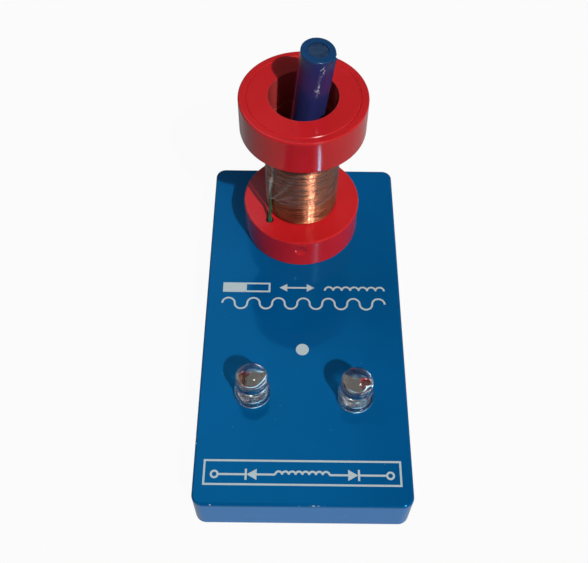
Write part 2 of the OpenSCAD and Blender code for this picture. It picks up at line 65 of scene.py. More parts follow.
# Light: one far bright lamp, high at the front right, which draws crisp shadows to the back left, with a
# soft glow round it. A plain room fills them: dim and warm all round, paler at the right, cool overhead.
lamp_towards = Vector((0.456, -0.744, 1.0)).normalized()
lamp_spread = 0.02
lamp_strength = 2.95
lamp_colour = (1.0, 0.97, 0.93)
glow_level = (12.0, 12.0, 12.0, 1.0)
glow_spread = (0.16, 0.05)
overhead_towards = Vector((-0.30, 0.42, 1.0)).normalized()
overhead_colour = (0.70, 1.35, 1.80, 1.0)
overhead_spread = (0.45, 0.12)
wall_towards = Vector((0.85, -0.40, 0.35)).normalized()
wall_colour = (0.45, 0.43, 0.40, 1.0)
wall_spread = (0.70, 0.15)
room_colour = (0.090, 0.080, 0.070, 1.0)
white = (1.0, 1.0, 1.0, 1.0)


def add(tree, kind, values=None, **settings):
    """A shader node; a value that is a socket is linked, and any other is set."""
    made = tree.nodes.new("ShaderNode" + kind)
    for name, value in settings.items():
        setattr(made, name, value)
    for socket, value in (values or {}).items():
        if isinstance(value, bpy.types.NodeSocket):
            tree.links.new(value, made.inputs[socket])
        else:
            made.inputs[socket].default_value = value
    return made


def calc(tree, operation, first, second=0.0):
    """The result of one sum on numbers."""
    return add(tree, "Math", {0: first, 1: second}, operation=operation).outputs[0]


def mix(tree, share, under, over):
    """A colour between two, by a share from 0 to 1."""
    made = add(tree, "Mix", {0: share, 6: under, 7: over}, data_type="RGBA")
    return made.outputs[2]


def shown_white(tree, to_eye, through_glass, in_gloss):
    """How much of plain white a ray sees: one from the eye, one through glass or one off a gloss."""
    path = add(tree, "LightPath").outputs
    glass = calc(tree, "MULTIPLY", path["Is Transmission Ray"], through_glass)
    gloss = calc(tree, "MULTIPLY", path["Is Glossy Ray"], in_gloss)
    eye = calc(tree, "MULTIPLY", path["Is Camera Ray"], to_eye)
    return calc(tree, "MAXIMUM", eye, calc(tree, "MAXIMUM", glass, gloss))


lamp = bpy.data.objects.new("lamp", bpy.data.lights.new("lamp", "SUN"))
lamp.data.angle = lamp_spread
lamp.data.energy = lamp_strength
lamp.data.color = lamp_colour
lamp.rotation_euler = lamp_towards.to_track_quat("Z", "Y").to_euler()
bpy.context.scene.collection.objects.link(lamp)

room = bpy.data.worlds.new("room")
room.use_nodes = True
room_tree = room.node_tree
way = add(room_tree, "TexCoord").outputs["Generated"]


def soft_spot(towards, wide, narrow):
    """A share of light: 1 within a narrow angle of a direction, falling softly to 0 at a wide one."""
    facing = add(room_tree, "VectorMath", {0: way, 1: towards}, operation="DOT_PRODUCT")
    ends = {"Value": facing.outputs["Value"], "From Min": math.cos(wide), "From Max": math.cos(narrow)}
    return add(room_tree, "MapRange", ends, interpolation_type="SMOOTHERSTEP").outputs["Result"]


light = mix(room_tree, soft_spot(overhead_towards, *overhead_spread), room_colour, overhead_colour)
light = mix(room_tree, soft_spot(wall_towards, *wall_spread), light, wall_colour)
light = mix(room_tree, soft_spot(lamp_towards, *glow_spread), light, glow_level)
seen = shown_white(room_tree, to_eye=1.0, through_glass=0.03, in_gloss=0.04)
light = mix(room_tree, seen, light, white)
room_tree.links.new(light, room_tree.nodes["Background"].inputs["Color"])
bpy.context.scene.world = room
bpy.context.scene.view_settings.view_transform = "Standard"


# Floor: a plain pale sheet that the object stands on. It shows white to the eye and through glass, and
# pale in gloss, and it keeps a faint shadow of the object.
floor_half = 3.0
floor_drop = 0.05 * mm
floor_colour = (0.28, 0.28, 0.28, 1.0)

floor_finish = bpy.data.materials.new("floor_white")
floor_finish.use_nodes = True
floor_tree = floor_finish.node_tree
floor_tree.nodes.clear()
floor_lit = add(floor_tree, "BsdfDiffuse", {"Color": floor_colour}).outputs[0]
floor_white = add(floor_tree, "Emission", {"Color": white, "Strength": 1.0}).outputs[0]
seen = shown_white(floor_tree, to_eye=0.95, through_glass=0.9, in_gloss=0.18)
floor_mix = add(floor_tree, "MixShader", {0: seen, 1: floor_lit, 2: floor_white}).outputs[0]
add(floor_tree, "OutputMaterial", {"Surface": floor_mix})

floor_mesh = bpy.data.meshes.new("floor")
bm = bmesh.new()
bmesh.ops.create_grid(bm, x_segments=1, y_segments=1, size=floor_half)
bmesh.ops.translate(bm, verts=bm.verts, vec=(0, 0, -floor_drop))
bm.to_mesh(floor_mesh)
bm.free()
floor_mesh.materials.append(floor_finish)
floor = bpy.data.objects.new("floor", floor_mesh)
bpy.context.scene.collection.objects.link(floor)


# Base: a moulded box, open below, sprayed with blue gloss enamel that has a slight orange peel.
# Handling has chipped its front edge and rubbed its corners, and fine dust lies on its top.
base_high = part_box("base_housing")[1]
base_top = base_high.z
enamel_deep = (0.0003, 0.066, 0.197, 1.0)
enamel_light = (0.0006, 0.074, 0.220, 1.0)
enamel_painted_lit_side = (0.001, 0.155, 0.470, 1.0)
enamel_gleam = (0.06, 0.55, 0.90, 1.0)
bare_moulding = (0.34, 0.40, 0.45, 1.0)
dust_grey = (0.45, 0.50, 0.55, 1.0)
chip_reach = 1.5 * mm
chip_front_y = -55.0 * mm
side_from_top = 0.3 * mm
side_below_top = 1.6 * mm


def spread(tree, value, low, high, to_low=0.0, to_high=1.0):
    """A value stretched from one range to another, and held at its ends."""
    ends = {"Value": value, "From Min": low, "From Max": high, "To Min": to_low, "To Max": to_high}
    return add(tree, "MapRange", ends).outputs["Result"]


def new_finish(name):
    """A material with one plain shader; gives the material, its tree and the shader."""
    finish = bpy.data.materials.new(name)
    finish.use_nodes = True
    return finish, finish.node_tree, finish.node_tree.nodes["Principled BSDF"]


def set_shader(tree, shader, values):
    """Sets or links a shader's own sockets."""
    for socket, value in values.items():
        if isinstance(value, bpy.types.NodeSocket):
            tree.links.new(value, shader.inputs[socket])
        else:
            shader.inputs[socket].default_value = value


def new_effect(name, numbers, result):
    """A node group that takes a place and named numbers; gives its tree, its inputs and its output node."""
    tree = bpy.data.node_groups.new(name, "ShaderNodeTree")
    tree.interface.new_socket("Vector", in_out="INPUT", socket_type="NodeSocketVector")
    for number in numbers:
        tree.interface.new_socket(number, in_out="INPUT", socket_type="NodeSocketFloat")
    tree.interface.new_socket(result, in_out="OUTPUT", socket_type="NodeSocketFloat")
    return tree, tree.nodes.new("NodeGroupInput").outputs, tree.nodes.new("NodeGroupOutput")


def effect(tree, group, values):
    """A node group placed in a material; gives its result."""
    return add(tree, "Group", values, node_tree=group).outputs[0]


def dress(finish, *names):
    """Gives CAD nodes their finish."""
    for name in names:
        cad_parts[name].material_slots[0].material = finish


smudges, given, out = new_effect("smudges", ["Scale", "Low", "High"], "Roughness")
cloud = add(smudges, "TexNoise", {"Vector": given["Vector"], "Scale": given["Scale"], "Detail": 5.0})
level = spread(smudges, cloud.outputs[0], 0.3, 0.7, given["Low"], given["High"])
smudges.links.new(level, out.inputs[0])

specks, given, out = new_effect("specks", ["Scale", "Size", "Share"], "Mask")
cells = add(specks, "TexVoronoi", {"Vector": given["Vector"], "Scale": given["Scale"]})
chance = add(specks, "SeparateColor", {"Color": cells.outputs["Color"]}).outputs[0]
chosen = calc(specks, "LESS_THAN", chance, given["Share"])
near = spread(specks, calc(specks, "DIVIDE", cells.outputs["Distance"], given["Size"]), 1.0, 0.4)
specks.links.new(calc(specks, "MULTIPLY", chosen, near), out.inputs[0])

hairlines, given, out = new_effect("hairlines", ["Scale", "Width"], "Mask")
drawn = add(hairlines, "TexNoise", {"Vector": given["Vector"], "Scale": given["Scale"], "Detail": 1.0})
off_line = calc(hairlines, "ABSOLUTE", calc(hairlines, "SUBTRACT", drawn.outputs[0], 0.5))
line = spread(hairlines, calc(hairlines, "DIVIDE", off_line, given["Width"]), 1.0, 0.0)
hairlines.links.new(line, out.inputs[0])

edge_wear, given, out = new_effect("edge_wear", ["Half Width", "Half Depth", "Top", "Reach"], "Mask")
at = add(edge_wear, "SeparateXYZ", {"Vector": given["Vector"]}).outputs
side_x = calc(edge_wear, "SUBTRACT", given["Half Width"], calc(edge_wear, "ABSOLUTE", at["X"]))
side_y = calc(edge_wear, "SUBTRACT", given["Half Depth"], calc(edge_wear, "ABSOLUTE", at["Y"]))
inward = calc(edge_wear, "MINIMUM", side_x, side_y)
below = calc(edge_wear, "SUBTRACT", given["Top"], at["Z"])
off_edge = calc(edge_wear, "DIVIDE", calc(edge_wear, "MAXIMUM", inward, below), given["Reach"])
grit = add(edge_wear, "TexNoise", {"Vector": given["Vector"], "Scale": 900.0, "Detail": 5.0}).outputs[0]
patches = add(edge_wear, "TexNoise", {"Vector": given["Vector"], "Scale": 75.0, "Detail": 3.0}).outputs[0]
worn = calc(edge_wear, "ADD", grit, calc(edge_wear, "MULTIPLY", patches, 1.4))
front = spread(edge_wear, at["Y"], 0.0, chip_front_y, -0.12, 0.06)
worn = calc(edge_wear, "SUBTRACT", calc(edge_wear, "ADD", worn, front), off_edge)
edge_wear.links.new(spread(edge_wear, worn, 1.22, 1.34), out.inputs[0])

enamel, tree, shader = new_finish("blue_enamel")
place = add(tree, "TexCoord").outputs["Object"]
pooled = add(tree, "TexNoise", {"Vector": place, "Scale": 26.0, "Detail": 3.0}).outputs[0]
colour = mix(tree, spread(tree, pooled, 0.35, 0.65), enamel_deep, enamel_light)
height = add(tree, "SeparateXYZ", {"Vector": place}).outputs["Z"]
# The sides are painted a much lighter blue than the top: painted light, as if the sides were lit more
# brightly.
painted_light_share = spread(tree, height, base_top - side_from_top, base_top - side_below_top)
colour = mix(tree, painted_light_share, colour, enamel_painted_lit_side)
dust = effect(tree, specks, {"Vector": place, "Scale": 700.0, "Size": 0.12, "Share": 0.03})
colour = mix(tree, calc(tree, "MULTIPLY", dust, 0.25), colour, dust_grey)
chips = effect(tree, edge_wear, {
    "Vector": place, "Half Width": base_high.x, "Half Depth": base_high.y, "Top": base_top,
    "Reach": chip_reach,
})
colour = mix(tree, chips, colour, bare_moulding)
gloss = effect(tree, smudges, {"Vector": place, "Scale": 70.0, "Low": 0.05, "High": 0.10})
gloss = calc(tree, "ADD", gloss, calc(tree, "MULTIPLY", calc(tree, "MAXIMUM", chips, dust), 0.4))
peel = add(tree, "TexNoise", {"Vector": place, "Scale": 420.0, "Detail": 2.0}).outputs[0]
peel = calc(tree, "SUBTRACT", peel, calc(tree, "MULTIPLY", chips, 3.0))
bump = add(tree, "Bump", {"Height": peel, "Strength": 1.0, "Distance": 0.006 * mm}).outputs[0]
set_shader(tree, shader, {
    "Base Color": colour, "Roughness": gloss, "Normal": bump, "Specular Tint": enamel_gleam,
})
dress(enamel, "base_housing")


# Print: pale ink screened on the base's top, a ruled frame at the front, two rows of signs behind it and a
# round dot. The signs are the usual drawn ones: a bar magnet and the way it moves, a coil, a wave, and two
# diodes with a coil.
ink_pale = (0.405, 0.47, 0.485, 1.0)
ink_thin = (0.24, 0.33, 0.42, 1.0)
ink_t = 0.03 * mm
rule_w = 0.6 * mm
stroke_w = 0.62 * mm
stroke_step = 9.0
frame_mid = Vector((-0.15, -53.95, 0)) * mm
frame_half_w = 29.35 * mm
frame_half_d = 3.95 * mm
dot_mid = Vector((-0.3, -12.5, 0)) * mm
dot_r = 2.1 * mm
dot_sides = 48
upper_row_y = 11.3 * mm
lower_row_y = 5.0 * mm
row_half_w = 27.2 * mm
row_half_h = 1.9 * mm
diode_half = 1.5 * mm
diode_half_d = 1.7 * mm
diode_bar_x = 1.7 * mm


def bar(bm, x, y, w, d, coat=1.0):
    """A flat bar of ink, w wide and d deep, with its middle at x, y and so many coats of ink."""
    made = bmesh.ops.create_cube(bm, size=1.0)["verts"]
    bmesh.ops.scale(bm, verts=made, vec=(w, d, ink_t * coat))
    bmesh.ops.translate(bm, verts=made, vec=(x, y, base_top + ink_t * coat / 2))


def hoop(bm, x, y, radius, start, sweep, coat=1.0):
    """A bowed stroke about x, y from the angle start through sweep, in degrees, of so many coats of ink."""
    before = set(bm.verts)
    half_w = stroke_w / 2
    half_t = ink_t * coat / 2
    corners = [(-half_w, -half_t), (half_w, -half_t), (half_w, half_t), (-half_w, half_t)]
    ring = [bm.verts.new((radius + across, 0, up)) for across, up in corners]
    edges = [bm.edges.new(pair) for pair in zip(ring, ring[1:] + ring[:1])]
    bmesh.ops.rotate(bm, verts=ring, cent=(0, 0, 0), matrix=Matrix.Rotation(math.radians(start), 3, "Z"))
    bmesh.ops.spin(
        bm, geom=ring + edges, cent=(0, 0, 0), axis=(0, 0, 1), angle=math.radians(sweep),
        steps=int(sweep / stroke_step),
    )
    stroke = [v for v in bm.verts if v not in before]
    ends = [e for v in stroke for e in v.link_edges if e.is_boundary]
    bmesh.ops.holes_fill(bm, edges=list(set(ends)))
    bmesh.ops.translate(bm, verts=stroke, vec=(x, y, base_top + half_t))


def raise_ink(bm, faces):
    """Gives flat faces the thickness of one coat of ink."""
    raised = bmesh.ops.extrude_face_region(bm, geom=faces)["geom"]
    tops = [g for g in raised if isinstance(g, bmesh.types.BMVert)]
    bmesh.ops.translate(bm, verts=tops, vec=(0, 0, ink_t))


def wedge(bm, x, y, length, half_d, way):
    """A filled arrow head whose point lies length from x, to the right for way 1 and to the left for -1."""
    corners = [(x, y - half_d), (x, y + half_d), (x + way * length, y)]
    raise_ink(bm, [bm.faces.new([bm.verts.new((cx, cy, base_top)) for cx, cy in corners])])


def coil_sign(bm, x0, x1, y, humps):
    """A coil as drawn in a circuit: a row of half hoops from x0 to x1."""
    step = (x1 - x0) / humps
    for i in range(humps):
        hoop(bm, x0 + (i + 0.5) * step, y, step / 2, 0, 180, coat=1.0 if i % 2 == 0 else 0.7)


def diode_sign(bm, x, y, way):
    """A diode as drawn in a circuit: an arrow head against a bar."""
    wedge(bm, x - way * diode_half, y, 2 * diode_half, diode_half_d, way)
    bar(bm, x + way * diode_bar_x, y, stroke_w, 2 * diode_half_d, coat=0.9)


bm = bmesh.new()
for way in (-1, 1):
    long_y = frame_mid.y + way * (frame_half_d - rule_w / 2)
    short_x = frame_mid.x + way * (frame_half_w - rule_w / 2)
    bar(bm, frame_mid.x, long_y, 2 * frame_half_w, rule_w)
    bar(bm, short_x, frame_mid.y, rule_w, 2 * (frame_half_d - rule_w))

bowl = bmesh.ops.create_circle(bm, cap_ends=True, radius=dot_r, segments=dot_sides)["verts"]
bmesh.ops.translate(bm, verts=bowl, vec=dot_mid + Vector((0, 0, base_top)))
raise_ink(bm, list({f for v in bowl for f in v.link_faces}))

wire_drop = 0.6 * mm
wire_y = frame_mid.y - wire_drop
coil_half = 8.0 * mm
diode_x = 15.0 * mm
wire_end = 25.0 * mm
eye_r = 1.0 * mm
coil_sign(bm, frame_mid.x - coil_half, frame_mid.x + coil_half, wire_y, 8)
for way in (-1, 1):
    diode_sign(bm, frame_mid.x + way * diode_x, wire_y, way)
    inner = (coil_half + diode_x - diode_half) / 2
    bar(bm, frame_mid.x + way * inner, wire_y, diode_x - diode_half - coil_half, stroke_w, coat=0.8)
    outer = (diode_x + diode_bar_x + wire_end) / 2
    bar(bm, frame_mid.x + way * outer, wire_y, wire_end - diode_x - diode_bar_x, stroke_w, coat=0.8)
    hoop(bm, frame_mid.x + way * (wire_end + eye_r), wire_y, eye_r, 0, 360)

magnet_half = 8.0 * mm
magnet_x = -row_half_w + magnet_half
bar(bm, magnet_x - magnet_half / 2, upper_row_y, magnet_half, 2 * row_half_h)
for way in (-1, 1):
    long_y = upper_row_y + way * (row_half_h - stroke_w / 2)
    bar(bm, magnet_x + magnet_half / 2, long_y, magnet_half, stroke_w)
bar(bm, magnet_x + magnet_half - stroke_w / 2, upper_row_y, stroke_w, 2 * row_half_h - 2 * stroke_w)
arrow_half = 5.5 * mm
arrow_x = -2.2 * mm
head_back = 2.2 * mm
head_l = 2.6 * mm
head_half_d = 1.5 * mm
shaft_l = 8.0 * mm
bar(bm, arrow_x, upper_row_y, shaft_l, stroke_w, coat=0.8)
for way in (-1, 1):
    wedge(bm, arrow_x + way * (arrow_half - head_back), upper_row_y, head_l, head_half_d, way)
coil_sign_x = 7.2 * mm
coil_sign_drop = 1.0 * mm
coil_sign(bm, coil_sign_x, row_half_w, upper_row_y - coil_sign_drop, 7)

wave_count = 13
wave_step = 2 * row_half_w / wave_count
for i in range(wave_count):
    start = 0 if i % 2 == 0 else 180
    hoop(bm, -row_half_w + (i + 0.5) * wave_step, lower_row_y, wave_step / 2, start, 180)
bmesh.ops.recalc_face_normals(bm, faces=bm.faces)


def seat(bm, name, body, finish, stands_for=(), sharp=40):
    """Makes a bmesh a piece that rides on a body, with edges over so many degrees kept sharp."""
    mesh = bpy.data.meshes.new(name)
    bm.to_mesh(mesh)
    bm.free()
    mesh.materials.append(finish)
    mesh.shade_smooth()
    mesh.set_sharp_from_angle(angle=math.radians(sharp))
    piece = bpy.data.objects.new(name, mesh)
    bpy.context.scene.collection.objects.link(piece)
    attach(piece, body)
    if stands_for:
        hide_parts(*stands_for)


ink, tree, shader = new_finish("screened_ink")
place = add(tree, "TexCoord").outputs["Object"]
coverage = add(tree, "TexNoise", {"Vector": place, "Scale": 1400.0, "Detail": 3.0}).outputs[0]
colour = mix(tree, spread(tree, coverage, 0.62, 0.78), ink_pale, ink_thin)
film = effect(tree, smudges, {"Vector": place, "Scale": 300.0, "Low": 0.3, "High": 0.5})
bump = add(tree, "Bump", {"Height": coverage, "Strength": 1.0, "Distance": 0.004 * mm}).outputs[0]
set_shader(tree, shader, {"Base Color": colour, "Roughness": film, "Normal": bump})
seat(bm, "screened_print", "stand", ink)


# Bottom cover: a black moulded plate with a fine spark-eroded grain, let into the base's underside.
# Four sunk steel screws hold it, their slots dull from the tool.
cover_black = (0.018, 0.018, 0.020, 1.0)
cover_grey = (0.035, 0.035, 0.037, 1.0)
score_grey = (0.12, 0.12, 0.12, 1.0)
steel_light = (0.60, 0.61, 0.62, 1.0)
steel_dark = (0.36, 0.37, 0.38, 1.0)

cover_finish, tree, shader = new_finish("grained_black")
place = add(tree, "TexCoord").outputs["Object"]
grain = add(tree, "TexNoise", {"Vector": place, "Scale": 2600.0, "Detail": 2.0}).outputs[0]
rubbed = add(tree, "TexNoise", {"Vector": place, "Scale": 45.0, "Detail": 5.0}).outputs[0]
dragged = {"Vector": place, "Rotation": (0, 0, 0.5), "Scale": (20.0, 400.0, 20.0)}
dragged = add(tree, "Mapping", dragged).outputs[0]
scores = effect(tree, hairlines, {"Vector": dragged, "Scale": 1.0, "Width": 0.008})
colour = mix(tree, spread(tree, rubbed, 0.4, 0.7), cover_black, cover_grey)
colour = mix(tree, calc(tree, "MULTIPLY", scores, 0.5), colour, score_grey)
dull = effect(tree, smudges, {"Vector": place, "Scale": 60.0, "Low": 0.42, "High": 0.62})
bump = add(tree, "Bump", {"Height": grain, "Strength": 1.0, "Distance": 0.012 * mm}).outputs[0]
set_shader(tree, shader, {"Base Color": colour, "Roughness": dull, "Normal": bump})
dress(cover_finish, "bottom_cover")

steel, tree, shader = new_finish("zinc_steel")
place = add(tree, "TexCoord").outputs["Object"]
plating = add(tree, "TexNoise", {"Vector": place, "Scale": 900.0, "Detail": 4.0}).outputs[0]
colour = mix(tree, spread(tree, plating, 0.35, 0.7), steel_light, steel_dark)
worn = effect(tree, smudges, {"Vector": place, "Scale": 500.0, "Low": 0.22, "High": 0.42})
bump = add(tree, "Bump", {"Height": plating, "Strength": 1.0, "Distance": 0.006 * mm}).outputs[0]
set_shader(tree, shader, {"Base Color": colour, "Roughness": worn, "Normal": bump, "Metallic": 1.0})
dress(steel, "cover_screws", "spool_screws")


# Spool: two thick flanges and a thin core tube, turned from red plastic and polished to a gloss.
# Fine turning marks run round the faces. Screws from inside the base hold the lower flange.
tube_low, tube_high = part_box("spool_tube")
axis = (tube_low + tube_high) / 2
axis.z = 0.0
bore_r = 10.7 * mm
bore_skin = 0.02 * mm
bore_lip = 0.15 * mm
red_deep = (0.44, 0.009, 0.012, 1.0)
red_light = (0.52, 0.013, 0.016, 1.0)
bore_painted_haze = (0.16, 0.13, 0.12, 1.0)
red_dust = (0.75, 0.45, 0.42, 1.0)
turning_pitch = 0.4 * mm

red, tree, shader = new_finish("red_plastic")
place = add(tree, "TexCoord").outputs["Object"]
centred = add(tree, "Mapping", {"Vector": place, "Location": axis}, vector_type="TEXTURE").outputs[0]
clouded = add(tree, "TexNoise", {"Vector": place, "Scale": 40.0, "Detail": 4.0}).outputs[0]
colour = mix(tree, spread(tree, clouded, 0.35, 0.65), red_deep, red_light)
dust = effect(tree, specks, {"Vector": place, "Scale": 640.0, "Size": 0.14, "Share": 0.04})
colour = mix(tree, calc(tree, "MULTIPLY", dust, 0.25), colour, red_dust)
gloss = effect(tree, smudges, {"Vector": place, "Scale": 90.0, "Low": 0.10, "High": 0.17})
across = add(tree, "VectorMath", {0: centred, 1: (1.0, 1.0, 0.0)}, operation="MULTIPLY").outputs[0]
radius = add(tree, "VectorMath", {0: across}, operation="LENGTH").outputs["Value"]
# Inside the bore the red is greyed a little: a painted haze of reflected light.
in_bore = spread(tree, radius, bore_r + bore_lip, bore_r + bore_skin)
colour = mix(tree, calc(tree, "MULTIPLY", in_bore, 0.25), colour, bore_painted_haze)
height = add(tree, "SeparateXYZ", {"Vector": place}).outputs["Z"]
rings = calc(tree, "MULTIPLY", calc(tree, "ADD", radius, height), 2 * math.pi / turning_pitch)
rings = calc(tree, "SINE", rings)
wobble = add(tree, "TexNoise", {"Vector": place, "Scale": 110.0, "Detail": 1.0}).outputs[0]
skin = calc(tree, "ADD", calc(tree, "MULTIPLY", rings, 0.02), calc(tree, "MULTIPLY", wobble, 3.4))
bump = add(tree, "Bump", {"Height": skin, "Strength": 1.0, "Distance": 0.02 * mm}).outputs[0]
set_shader(tree, shader, {
    "Base Color": colour, "Roughness": gloss, "Normal": bump, "Specular IOR Level": 0.38,
})
dress(red, "flange_lower", "flange_upper", "spool_tube")


# Winding: fine enamelled copper wire wound on the tube by hand, close turns that ride up and sink a little.
# The inner layers show only as a dark gleam between the turns of the outer one.
core_low, core_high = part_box("winding_core")
coil_low, coil_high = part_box("winding_wire")
coil_r = (coil_high.x - coil_low.x) / 2
wire_r = 0.19 * mm
wire_turns = 90
wire_steps = 40
wire_sides = 6
wire_lift = 0.05 * mm
wire_sway = 0.05 * mm
sway_round = 160
sway_turn = 0.9
copper_dark = (0.15, 0.032, 0.018, 1.0)
copper_light = (0.62, 0.23, 0.10, 1.0)

wire_mid_r = coil_r - wire_r - wire_lift
wire_z0 = core_low.z + wire_r + wire_sway
wire_pitch = (core_high.z - core_low.z - 2 * (wire_r + wire_sway)) / wire_turns

bm = bmesh.new()
bmesh.ops.create_circle(bm, cap_ends=False, radius=wire_r, segments=wire_sides)
bmesh.ops.rotate(bm, verts=bm.verts, cent=(0, 0, 0), matrix=Matrix.Rotation(math.pi / 2, 3, "X"))
bmesh.ops.translate(bm, verts=bm.verts, vec=(wire_mid_r, 0, wire_z0))
bmesh.ops.spin(
    bm, geom=list(bm.verts) + list(bm.edges), cent=(0, 0, 0), axis=(0, 0, 1),
    dvec=(0, 0, wire_pitch / wire_steps), angle=2 * math.pi, steps=wire_steps,
)
one_turn = list(bm.verts) + list(bm.edges) + list(bm.faces)
for turn in range(1, wire_turns):
    copied = bmesh.ops.duplicate(bm, geom=one_turn)["geom"]
    lifted = [g for g in copied if isinstance(g, bmesh.types.BMVert)]
    bmesh.ops.translate(bm, verts=lifted, vec=(0, 0, wire_pitch * turn))
bmesh.ops.remove_doubles(bm, verts=bm.verts, dist=1e-7)
bmesh.ops.holes_fill(bm, edges=[e for e in bm.edges if e.is_boundary])
for v in bm.verts:
    turned = math.atan2(v.co.y, v.co.x) % (2 * math.pi) / (2 * math.pi)
    turn = round((v.co.z - wire_z0) / wire_pitch - turned) + turned
    heart = Vector((v.co.x, v.co.y, 0)).normalized() * wire_mid_r
    spot = Vector((heart.x * sway_round, heart.y * sway_round, turn * sway_turn))
    v.co += heart.normalized() * wire_lift * noise.noise(spot)
    v.co.z += wire_sway * noise.noise(spot * 0.6 + Vector((7, 3, 1)))
bmesh.ops.translate(bm, verts=bm.verts, vec=axis)
bmesh.ops.recalc_face_normals(bm, faces=bm.faces)

copper, tree, shader = new_finish("enamelled_copper")
place = add(tree, "TexCoord").outputs["Object"]
stretched = add(tree, "Mapping", {"Vector": place, "Scale": (120.0, 120.0, 2400.0)}).outputs[0]
varnish = add(tree, "TexNoise", {"Vector": stretched, "Scale": 1.0, "Detail": 3.0}).outputs[0]
colour = mix(tree, spread(tree, varnish, 0.3, 0.7), copper_dark, copper_light)
sheen = effect(tree, smudges, {"Vector": stretched, "Scale": 1.7, "Low": 0.16, "High": 0.36})
nicks = add(tree, "TexNoise", {"Vector": place, "Scale": 2200.0, "Detail": 2.0}).outputs[0]
bump = add(tree, "Bump", {"Height": nicks, "Strength": 1.0, "Distance": 0.01 * mm}).outputs[0]
set_shader(tree, shader, {
    "Base Color": colour, "Roughness": sheen, "Normal": bump, "Metallic": 1.0,
    "Coat Weight": 0.6, "Coat Roughness": 0.22,
})
seat(bm, "wound_wire", "stand", copper, ["winding_wire"], sharp=80)
dress(copper, "winding_core")


# Leads: soft plastic-covered wires. Two come down from under the tape through holes in the lower flange
# to the emitters' legs, knotted at the flange, and two more join the legs head to tail inside the base.
lead_r = 0.5 * mm
lead_steps = 8
lead_lie_r = 12.9 * mm
lead_hole_r = 14.5 * mm
lead_hole_angle = math.radians(222.5)
lead_lie_angle = math.radians(215.5)
lead_top_z = 45.7 * mm
lead_tape_z = 36.7 * mm
lead_rise_z = 33.3 * mm
lead_dip = 4.2 * mm
knot_l = 0.9 * mm
knot_swell = 0.9
green_deep = (0.002, 0.050, 0.024, 1.0)
green_light = (0.006, 0.10, 0.05, 1.0)
wire_red_deep = (0.30, 0.010, 0.010, 1.0)
wire_red_light = (0.42, 0.02, 0.02, 1.0)
wire_black_deep = (0.010, 0.010, 0.011, 1.0)
wire_black_light = (0.03, 0.03, 0.032, 1.0)
window_z = core_low.z
leg_joint_z = 7.55 * mm
leg_half_pitch = 1.27 * mm
lens_boxes = {side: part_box("led_%s_lens" % side) for side in ("left", "right")}
lens_r = (lens_boxes["left"][1].y - lens_boxes["left"][0].y) / 2
lens_mid = {
    "left": Vector((lens_boxes["left"][0].x + lens_r, lens_boxes["left"][0].y + lens_r, base_top)),
    "right": Vector((lens_boxes["right"][1].x - lens_r, lens_boxes["right"][0].y + lens_r, base_top)),
}


def by_spool(radius, angle, z):
    """A point at a radius and an angle round the spool's axis."""
    return axis + Vector((radius * math.cos(angle), radius * math.sin(angle), z))


def lead_down(half_turn):
    """From under the tape, down the winding and through the flange's hole, so much round the spool."""
    lie = lead_lie_angle + half_turn
    hole = lead_hole_angle + half_turn
    return [
        by_spool(lead_lie_r, lie, lead_top_z),
        by_spool(lead_lie_r, lie, lead_tape_z),
        by_spool(lead_lie_r, lie, lead_rise_z),
        by_spool(lead_hole_r, hole, window_z),
        by_spool(lead_hole_r, hole, (window_z + base_top) / 2),
        by_spool(lead_hole_r, hole, base_top),
        by_spool(lead_hole_r, hole, base_top - lead_dip),
    ]


def by_leg(side, way, off_x, off_y):
    """A point beside an emitter's left or right leg, at the height of the solder."""
    leg_x = lens_mid[side].x + way * leg_half_pitch
    return Vector((leg_x + off_x * mm, lens_mid[side].y + off_y * mm, leg_joint_z))


def in_base(*points):
    """Route points inside the base, given in millimetres."""
    return [Vector(p) * mm for p in points]


def lead(name, route, finish, node, knot=None):
    """A round wire along a smooth curve through a route's points, swollen where it is knotted at one."""
    points = []
    for i in range(len(route) - 1):
        p0, p1 = route[max(i - 1, 0)], route[i]
        p2, p3 = route[i + 1], route[min(i + 2, len(route) - 1)]
        for k in range(lead_steps):
            t = k / lead_steps
            points.append(0.5 * (
                2 * p1 + (p2 - p0) * t + (2 * p0 - 5 * p1 + 4 * p2 - p3) * t ** 2
                + (3 * p1 - p0 - 3 * p2 + p3) * t ** 3
            ))
    points.append(route[-1])
    curve = bpy.data.curves.new(name, "CURVE")
    curve.dimensions = "3D"
    curve.bevel_depth = lead_r
    curve.bevel_resolution = 4
    curve.use_fill_caps = True
    spline = curve.splines.new("POLY")
    spline.points.add(len(points) - 1)
    for spot, point in zip(spline.points, points):
        spot.co = (*point, 1.0)
        if knot is not None:
            spot.radius = 1.0 + knot_swell * math.exp(-((point - route[knot]).length / knot_l) ** 2)
    drawn = bpy.data.objects.new(name, curve)
    bm = bmesh.new()
    bm.from_mesh(drawn.to_mesh())
    drawn.to_mesh_clear()
    bpy.data.objects.remove(drawn)
    bmesh.ops.remove_doubles(bm, verts=bm.verts, dist=1e-6)
    bmesh.ops.recalc_face_normals(bm, faces=bm.faces)
    seat(bm, name, "stand", finish, [node], sharp=50)


def covering(name, deep, light):
    """Soft plastic covering of a wire, a little marked from handling."""
    finish, tree, shader = new_finish(name)
    place = add(tree, "TexCoord").outputs["Object"]
    marks = add(tree, "TexNoise", {"Vector": place, "Scale": 500.0, "Detail": 4.0}).outputs[0]
    colour = mix(tree, spread(tree, marks, 0.35, 0.7), deep, light)
    gloss = effect(tree, smudges, {"Vector": place, "Scale": 350.0, "Low": 0.28, "High": 0.45})
    bump = add(tree, "Bump", {"Height": marks, "Strength": 1.0, "Distance": 0.01 * mm}).outputs[0]
    set_shader(tree, shader, {"Base Color": colour, "Roughness": gloss, "Normal": bump})
    return finish


green_cover = covering("green_covering", green_deep, green_light)
red_cover = covering("red_covering", wire_red_deep, wire_red_light)
black_cover = covering("black_covering", wire_black_deep, wire_black_light)

